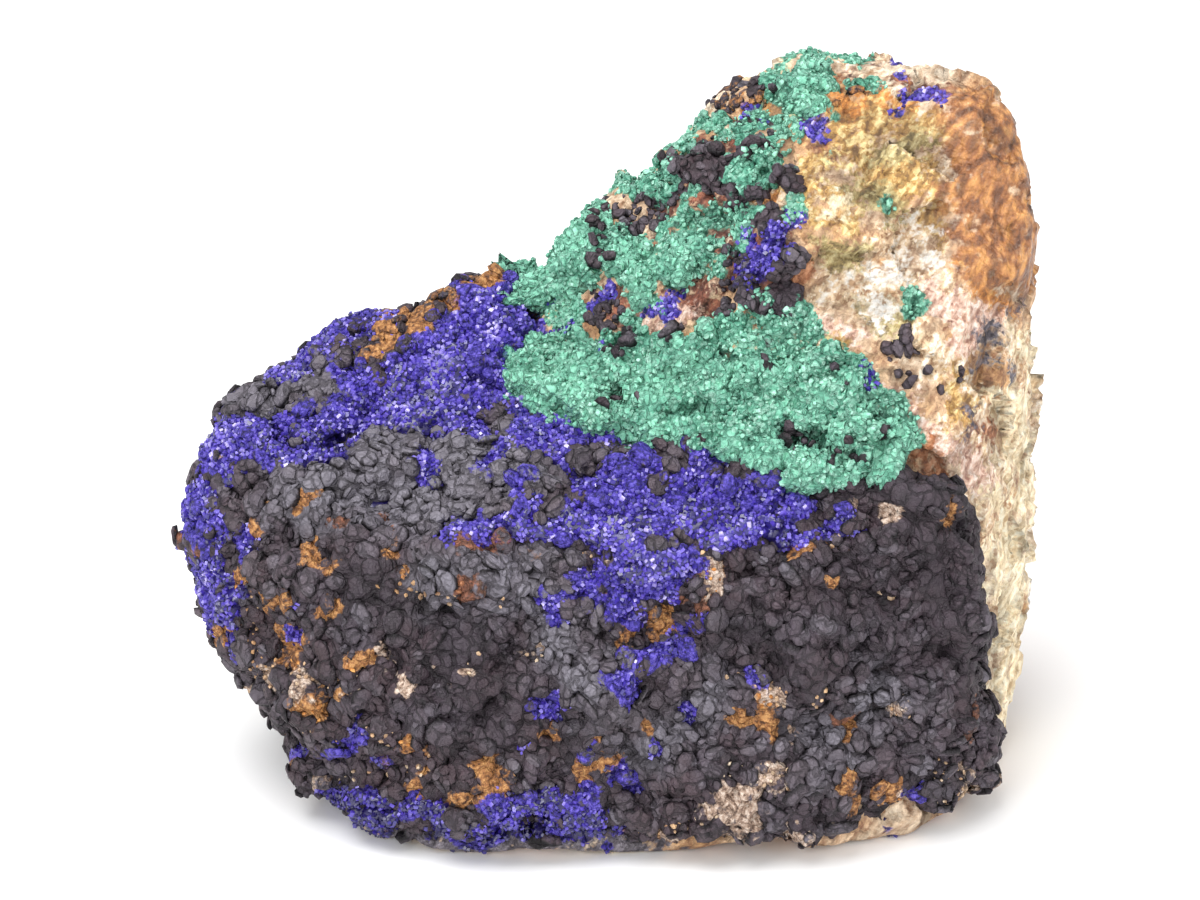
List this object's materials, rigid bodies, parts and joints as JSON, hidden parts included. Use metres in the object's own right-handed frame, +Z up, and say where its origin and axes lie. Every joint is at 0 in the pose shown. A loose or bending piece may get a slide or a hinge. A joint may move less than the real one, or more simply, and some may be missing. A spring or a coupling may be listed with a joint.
{
  "type": "azurite specimen",
  "caption": "Palm-sized mineral specimen: azurite druse and malachite crusts on lumpy black goethite over an iron-stained rock, resting on a flat base.",
  "frame": {"origin": "bottom centre of the box, on the face the specimen rests on", "axes": "+Z up, +X to the right and -Y towards the viewer on the display side"},
  "size_m": [0.077, 0.0474, 0.062],
  "materials": {
    "host_rock": "rough iron-stained limonite and quartz, with glassy fracture faces",
    "goethite": "botryoidal black crust, satin",
    "azurite": "sparkling druse of deep blue crystals",
    "malachite": "velvety green nodules"
  },
  "bodies": {
    "root": {"host_rock": "host_rock", "goethite_crust": "goethite", "goethite_peak": "goethite", "azurite_back": "azurite", "azurite_centre": "azurite", "azurite_foot": "azurite", "azurite_left": "azurite", "azurite_slope": "azurite", "malachite_back": "malachite", "malachite_ledge": "malachite", "malachite_peak": "malachite", "malachite_slope": "malachite"}
  },
  "joints": []
}
